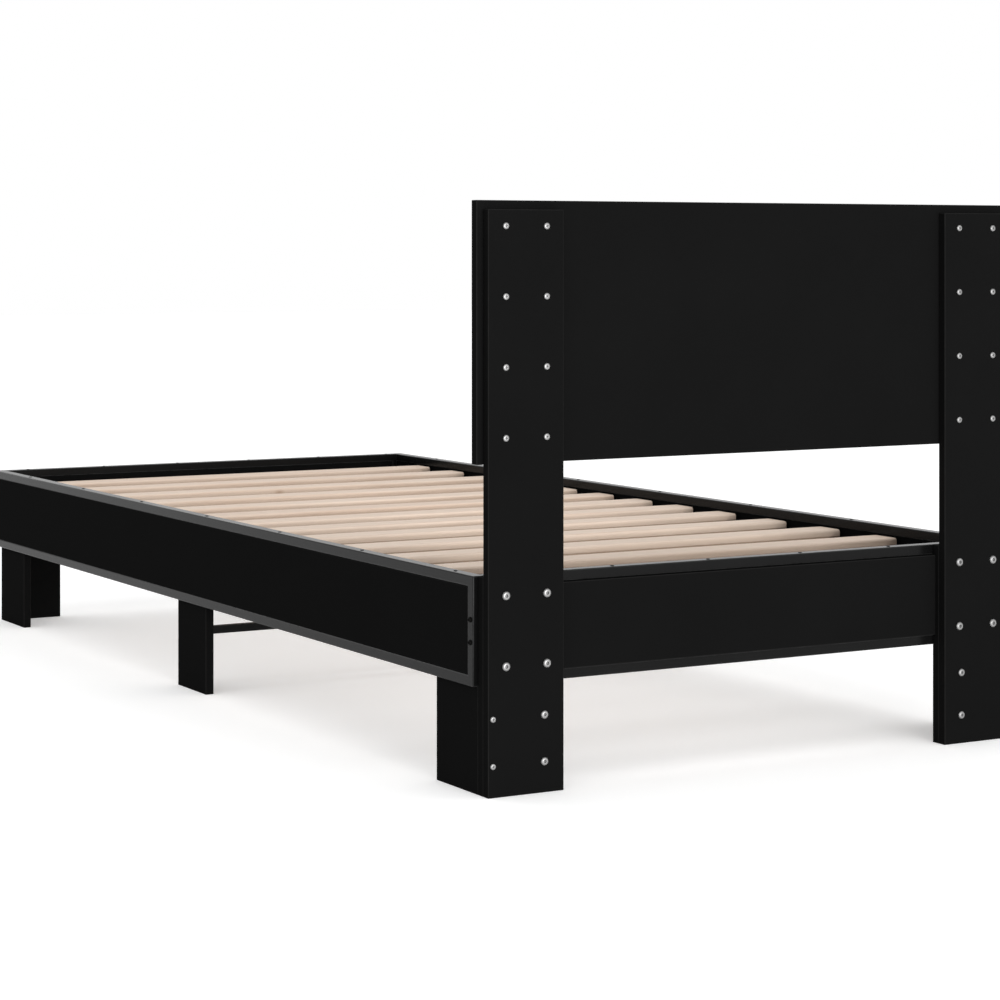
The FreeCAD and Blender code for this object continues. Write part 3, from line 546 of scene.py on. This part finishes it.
def fastener_tree():
    """Fasteners set on points, each facing its point's own way and turned at random about its axis."""
    graph, given, sockets = node_group("fasteners_on_points", (
        ("Points", "Geometry"), ("Fastener", "Object"), ("Turn", "Float"), ("Material", "Material")))
    way = graph.add("GeometryNodeInputNamedAttribute", {"data_type": "FLOAT_VECTOR"}, {"Name": "way"})
    facing = graph.add("FunctionNodeAlignRotationToVector", {"axis": "Z"}, {"Vector": way})
    turn = graph.add("FunctionNodeAxisAngleToRotation", None, {
        "Axis": (0, 0, 1), "Angle": random_value(graph, 0.0, 1.0, 5) * given["Turn"]})
    turned = graph.add("FunctionNodeRotateRotation", {"rotation_space": "LOCAL"}, {
        "Rotation": facing, "Rotate By": turn})
    body = graph.add("GeometryNodeObjectInfo", None, {"Object": given["Fastener"]}, "Geometry")
    points = graph.add("GeometryNodeMeshToPoints", None, {"Mesh": given["Points"]})
    set_in = graph.add("GeometryNodeInstanceOnPoints", None, {
        "Points": points, "Instance": body, "Rotation": turned})
    deliver(graph, set_in, given["Material"])
    return graph, sockets


def slat_blank(node):
    """One slat in its place: well rounded above, less below, eased ends, and how much painted shade each
    face gets.
    """
    low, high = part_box(node)
    bm = new_bmesh()
    edges = add_block(bm, low, high)
    long_edges = [edge for edge in edges if abs(edge.verts[0].co.y - edge.verts[1].co.y) > SLAT_EDGE]
    upper_edges = [edge for edge in long_edges if edge.verts[0].co.z > high[2] - SLAT_EDGE]
    lower_edges = [edge for edge in long_edges if edge not in upper_edges]
    ease(bm, upper_edges, SLAT_EDGE, 6)
    ease(bm, lower_edges, SLAT_UNDER_EDGE, 3)
    end_edges = [edge for edge in bm.edges for end in (low[1], high[1])
                 if all(abs(vertex.co.y - end) < 1e-6 for vertex in edge.verts)]
    ease(bm, end_edges, SLAT_END, 2)
    painted_shade = bm.faces.layers.float.new("side")
    bmesh.ops.recalc_face_normals(bm, faces=bm.faces)
    layer = bm.faces.layers.float["edge"]
    for face in bm.faces:
        # Painted shade by face direction: none on the top, more down the sides, full on the underside.
        face[painted_shade] = 1.0 if face.normal.z < UNDERSIDE else SIDE_PAINTED_SHADE * (1.0 - face.normal.z)
        face.smooth = face[layer] > 0
    return mesh_object("first-slat", bm)


# The first slat is made in its place, and the row carries it towards the foot.
slats = ["slat_%02d" % (k + 1) for k in range(2 * SLATS_AT_EACH_END + SLATS_IN_MIDDLE + 1)]
first_slat = slat_blank(slats[0])
slat_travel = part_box(slats[0])[0][0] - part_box(slats[-1])[0][0]
slat_graph, slat_sockets = slat_row_tree()
slat_row = grown("slats", slat_graph, slat_sockets, {
    "Slat": first_slat, "Count": len(slats),
    "At Each End": SLATS_AT_EACH_END, "In Middle": SLATS_IN_MIDDLE,
    "Pitch": (slat_travel - SLATS_IN_MIDDLE * SLAT_PITCH_MIDDLE) / (2 * SLATS_AT_EACH_END),
    "Middle Pitch": SLAT_PITCH_MIDDLE, "Jitter": SLAT_JITTER, "Material": WOOD})
bpy.data.objects.remove(first_slat)
settle(slat_row, WOOD, "slat_wood", *slats)

# ------------------------------------------------- fasteners

AROUND = 24      # sides of a turned piece
STEEP = 0.75     # Z of the normals below which a turned face is shaded round

# A head and its recess, from outside in: shares of their radius and of the head's height. The
# recess adds how much painted shade it gets.
HEAD_PROFILE = ((0.97, 0.0), (1.0, 0.12), (0.985, 0.38), (0.90, 0.70), (0.74, 0.92), (0.531, 1.0))
RECESS_PROFILE = ((1.05, 0.99, 0.35), (0.92, 0.80, 1.0), (0.80, 0.25, 1.0))
# A shank's blunt tip and the ridges of its thread, as shares of the shank's radius.
TIP_WIDTH, TIP_RISE = 0.55, 0.6
RIDGE_PITCH, RIDGE_ROOT, RIDGE_RISE = 0.55, 0.84, 0.22


def round_shape(angle):
    return 1.0


def hexagon_shape(angle):
    """Radius of a hexagon at an angle, for a radius of 1 at the middle of its flats."""
    return 1.0 / math.cos((angle + math.pi / 6) % (math.pi / 3) - math.pi / 6)


def cross_shape(angle):
    """Radius of a cross recess at an angle, for arms of radius 1."""
    return 0.34 + 0.66 * abs(math.cos(2 * angle)) ** 6


# Radius and height of the head, radius of the shank, shape and radius of the recess, and the
# length of the thread.
Fastener = namedtuple("Fastener", "head height shank recess_shape recess thread")
PANEL_SCREW = Fastener(0.005, 0.0025, 0.0025, cross_shape, 0.0026, 0.010)
RAIL_BOLT = Fastener(0.0065, 0.0035, 0.003, hexagon_shape, 0.0022, 0.014)
LEG_BOLT = Fastener(0.006, 0.003, 0.003, hexagon_shape, 0.0020, 0.008)
EDGE_SCREW = Fastener(0.0045, 0.0022, 0.002, cross_shape, 0.0024, 0.020)
CORNER_BOLT = Fastener(0.004, 0.0025, 0.003, hexagon_shape, 0.0018, 0.008)
INFILL_SCREW = Fastener(0.003, 0.0008, 0.00175, cross_shape, 0.0015, 0.016)
TRIM_SCREW = Fastener(0.004, 0.002, 0.002, cross_shape, 0.0022, 0.008)


def turned_solid(name, rows):
    """A closed solid about local Z, from rows of (radius, height, shape, painted recess shade) end to
    end.
    """
    bm = new_bmesh()
    recess = bm.faces.layers.float.new("recess")
    angles = [2 * math.pi * k / AROUND for k in range(AROUND)]
    loops = [[bm.verts.new((radius * shape(a) * math.cos(a), radius * shape(a) * math.sin(a), height))
              for a in angles] for radius, height, shape, _ in rows]
    for first, second, (_, _, _, depth) in zip(loops, loops[1:], rows[1:]):
        for k in range(AROUND):
            n = (k + 1) % AROUND
            face = bm.faces.new((first[k], first[n], second[n], second[k]))
            face[recess] = depth
    start, end = bm.faces.new(loops[0][::-1]), bm.faces.new(loops[-1])
    start[recess], end[recess] = rows[0][3], rows[-1][3]
    bmesh.ops.recalc_face_normals(bm, faces=bm.faces)
    for face in bm.faces:
        face.smooth = abs(face.normal.z) < STEEP and face not in (start, end)
    return mesh_object(name, bm)


def headed(kind, length):
    """A screw or bolt whose head stands on Z = 0 and whose shank runs down."""
    shank = kind.shank
    tip_top = shank * TIP_RISE - length
    rows = [(shank * TIP_WIDTH, -length, round_shape, 0.0), (shank, tip_top, round_shape, 0.0)]
    pitch = shank * RIDGE_PITCH
    for k in range(int(kind.thread / pitch)):
        root = tip_top + (k + 0.5) * pitch
        rows += [(shank * RIDGE_ROOT, root, round_shape, 0.0),
                 (shank, root + shank * RIDGE_RISE, round_shape, 0.0)]
    rows.append((shank, 0.0, round_shape, 0.0))
    rows += [(kind.head * out, kind.height * up, round_shape, 0.0) for out, up in HEAD_PROFILE]
    rows += [(kind.recess * out, kind.height * up, kind.recess_shape, depth)
             for out, up, depth in RECESS_PROFILE]
    return turned_solid("headed", rows)


def hexagonal_nut(height):
    """A nut that stands on Z = 0, with chamfered corners and an open bore."""
    half = NUT_FLATS / 2
    mouth = NUT_BORE * 1.12
    # The bore's rows carry painted shade, as a drive recess does.
    nut = turned_solid("nut", [
        (NUT_BORE, height * 0.06, round_shape, 0.4), (mouth, 0.0, round_shape, 0.0),
        (half * 0.98, 0.0, round_shape, 0.0), (half, height * 0.10, hexagon_shape, 0.0),
        (half, height * 0.88, hexagon_shape, 0.0), (half * 0.97, height, round_shape, 0.0),
        (mouth, height, round_shape, 0.0), (NUT_BORE, height * 0.94, round_shape, 0.4)])
    bm = bmesh.new()
    bm.from_mesh(nut.data)
    caps = [face for face in bm.faces if len(face.verts) > 4]
    bmesh.ops.delete(bm, geom=caps, context="FACES_ONLY")
    bmesh.ops.bridge_loops(bm, edges=[edge for edge in bm.edges if edge.is_boundary])
    bmesh.ops.recalc_face_normals(bm, faces=bm.faces)
    bm.to_mesh(nut.data)
    bm.free()
    return nut


def point_cloud(name, places):
    """A mesh of loose points, each with the way that its fastener's head faces."""
    mesh = bpy.data.meshes.new(name)
    mesh.from_pydata([place for place, _ in places], [], [])
    ways = mesh.attributes.new("way", "FLOAT_VECTOR", "POINT")
    ways.data.foreach_set("vector", [value for _, way in places for value in way])
    return mesh


fastener_graph, fastener_sockets = fastener_tree()


def set_fasteners(node, pattern, places, material, slot):
    """Set one pattern of fastener on all its places, in place of its CAD node."""
    name = node.replace("_", "-")
    made = grown(name, fastener_graph, fastener_sockets, {
        "Fastener": pattern, "Turn": 2 * math.pi, "Material": material}, point_cloud(name, places))
    bpy.data.objects.remove(pattern)
    settle(made, material, slot, node)


def pair(node, radius):
    """The lowest and highest axes of a group of fasteners, along each of X, Y and Z."""
    low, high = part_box(node)
    return [(low[k] + radius, high[k] - radius) for k in range(3)]


REARWARD, FOOTWARD, UPWARD = (1, 0, 0), (-1, 0, 0), (0, 0, 1)
rear_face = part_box("headboard_post_left")[1][0]
(rail_foot, _, _), (rail_head, _, rail_top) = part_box("side_rail_frame_left")
rail_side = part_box("side_rail_frame_right")[1][1]


def on_posts(node, kind, length, places):
    """Heads on the rear faces of the posts, at places across and up."""
    set_fasteners(node, headed(kind, length), [((rear_face, y, z), REARWARD) for y, z in places],
                  ZINC, "bright_steel")


def post_nuts(node, places):
    """Nuts on the far ends of the bolts through the posts."""
    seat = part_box(node)[1][0]
    set_fasteners(node, hexagonal_nut(NUT_HEIGHT), [((seat, y, z), FOOTWARD) for y, z in places],
                  ZINC, "bright_steel")


def reach(node):
    """From the posts' rear faces to the far end of a fastener."""
    return rear_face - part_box(node)[0][0]


# Headboard screws, rail bolts and their nuts share two columns on each post.
_, (_, column), (low_row, high_row) = pair("headboard_screws", PANEL_SCREW.head)
row_step = (high_row - low_row) / (HEADBOARD_ROWS - 1)
columns = [side * (column - inset) for _, side in SIDES for inset in (0.0, COLUMN_SPACING)]
on_posts("headboard_screws", PANEL_SCREW, PANEL_SCREW_LENGTH,
         [(y, low_row + k * row_step) for y in columns for k in range(HEADBOARD_ROWS)])

rail_places = [(y, z) for y in columns for z in pair("rail_bolts", RAIL_BOLT.head)[2]]
on_posts("rail_bolts", RAIL_BOLT, reach("rail_bolts"), rail_places)
post_nuts("rail_nuts", rail_places)

_, (_, leg_column), leg_rows = pair("leg_bolts", LEG_BOLT.head)
leg_places = [(side * leg_column, z) for _, side in SIDES for z in leg_rows]
on_posts("leg_bolts", LEG_BOLT, reach("leg_bolts"), leg_places)
post_nuts("leg_nuts", leg_places)

_, (_, edge_column), edge_rows = pair("leg_edge_screws", EDGE_SCREW.head)
on_posts("leg_edge_screws", EDGE_SCREW, reach("leg_edge_screws"),
         [(side * edge_column, z) for _, side in SIDES for z in edge_rows])

# Corner bolts and their nuts, in pairs at both ends of the side rails.
corner_ends, _, corner_rows = pair("frame_corner_bolts", CORNER_BOLT.head)
corner_places = [(x, side, z) for x in corner_ends for _, side in SIDES for z in corner_rows]
corner_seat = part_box("frame_corner_nuts")[1][1]
set_fasteners("frame_corner_bolts", headed(CORNER_BOLT, rail_side - corner_seat + CORNER_NUT_HEIGHT),
              [((x, side * rail_side, z), (0, side, 0)) for x, side, z in corner_places],
              OXIDE, "black_steel")
set_fasteners("frame_corner_nuts", hexagonal_nut(CORNER_NUT_HEIGHT),
              [((x, side * corner_seat, z), (0, -side, 0)) for x, side, z in corner_places],
              ZINC, "bright_steel")

# Small screws down through the top tubes into the infill boards.
(end_foot, end_left, _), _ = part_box("head_rail_frame")
half_tube = (rail_head - end_foot) / 2
infill_places = [(rail_head - SIDE_START - k * SIDE_PITCH, side * (rail_side - half_tube))
                 for _, side in SIDES for k in range(SIDE_COUNT)]
infill_places += [(x, end_left + END_START + k * END_PITCH)
                  for x in (rail_head - half_tube, rail_foot + half_tube) for k in range(END_COUNT)]
set_fasteners("infill_screws", headed(INFILL_SCREW, INFILL_SCREW_LENGTH),
              [((x, y, rail_top), UPWARD) for x, y in infill_places], OXIDE, "black_steel")


def trim_screws(node, seat, places):
    """Screws of the brackets, stretcher plates or ledges, whose heads face the middle of the bed."""
    set_fasteners(node, headed(TRIM_SCREW, PLATE + TRIM_BITE),
                  [((x, side * seat, z), (0, -side, 0)) for x, side, z in places],
                  ZINC, "bright_steel")


bracket_row = pair("leg_bracket_screws", TRIM_SCREW.head)[2][0]
bracket_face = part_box("mid_leg_board_right")[0][1] - PLATE
bracket_places = []
for leg in LEGS:
    low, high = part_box("leg_bracket_%s_left" % leg)
    quarter = (high[0] - low[0]) / 4
    bracket_places += [(x, side, bracket_row)
                       for _, side in SIDES for x in (low[0] + quarter, high[0] - quarter)]
trim_screws("leg_bracket_screws", bracket_face, bracket_places)

stretcher_ends, _, (stretcher_row, _) = pair("stretcher_screws", TRIM_SCREW.head)
trim_screws("stretcher_screws", bracket_face,
            [(x, side, stretcher_row) for _, side in SIDES for x in stretcher_ends])

(ledge_first, ledge_last), _, (ledge_row, _) = pair("slat_ledge_screws", TRIM_SCREW.head)
ledge_step = (ledge_last - ledge_first) / (LEDGE_SCREWS - 1)
trim_screws("slat_ledge_screws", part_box("slat_ledge_right")[1][1] - PLATE,
            [(ledge_first + k * ledge_step, side, ledge_row)
             for _, side in SIDES for k in range(LEDGE_SCREWS)])

# Dowels inside the foot legs.
_, (_, dowel_column), dowel_rows = pair("leg_dowels", DOWEL_RADIUS)
dowel_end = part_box("leg_dowels")[1][0]
dowel_tip = DOWEL_RADIUS - DOWEL_CHAMFER
dowel = turned_solid("dowel", [
    (dowel_tip, -DOWEL_LENGTH, round_shape, 0.0),
    (DOWEL_RADIUS, DOWEL_CHAMFER - DOWEL_LENGTH, round_shape, 0.0),
    (DOWEL_RADIUS, -DOWEL_CHAMFER, round_shape, 0.0),
    (dowel_tip, 0.0, round_shape, 0.0)])
set_fasteners("leg_dowels", dowel,
              [((dowel_end, side * dowel_column, z), REARWARD) for _, side in SIDES for z in dowel_rows],
              BIRCH, "slat_wood")

# ------------------------------------------------- studio

FLOOR_HALF = 25.0
bm = bmesh.new()
bm.faces.new([bm.verts.new((x * FLOOR_HALF, y * FLOOR_HALF, 0.0))
              for x, y in ((-1, -1), (1, -1), (1, 1), (-1, 1))])
floor = mesh_object("floor", bm)
floor.data.materials.append(studio_floor())


def soft_light(name, place, target, width, height, power):
    """A panel of light at a place, facing a target."""
    lamp = bpy.data.lights.new(name, "AREA")
    lamp.shape = "RECTANGLE"
    lamp.size = width
    lamp.size_y = height
    lamp.energy = power
    panel = linked(name, lamp)
    panel.location = place
    panel.rotation_mode = "QUATERNION"
    panel.rotation_quaternion = (Vector(target) - Vector(place)).to_track_quat("-Z", "Y")


soft_light("head_strip", (9.0, -0.3, 0.85), (0.0, 0.0, 0.4), 4.6, 1.3, 640.0)

world = bpy.data.worlds.new("studio")
world.use_nodes = True
backdrop = world.node_tree.nodes["Background"]
backdrop.inputs["Strength"].default_value = 1.0
backdrop.inputs["Color"].default_value = grey(1.0)
bpy.context.scene.world = world
bpy.context.scene.view_settings.view_transform = "Standard"

camera = bpy.data.cameras.new("camera")
camera.sensor_width = 36.0
camera.lens = 95.16
camera.shift_y = -0.2507
camera.clip_end = 100.0
tripod = linked("camera", camera)
tripod.location = (4.2851, -2.2939, 0.7733)
tripod.rotation_euler = (math.radians(90.0), 0.0, math.radians(60.378))
bpy.context.scene.camera = tripod
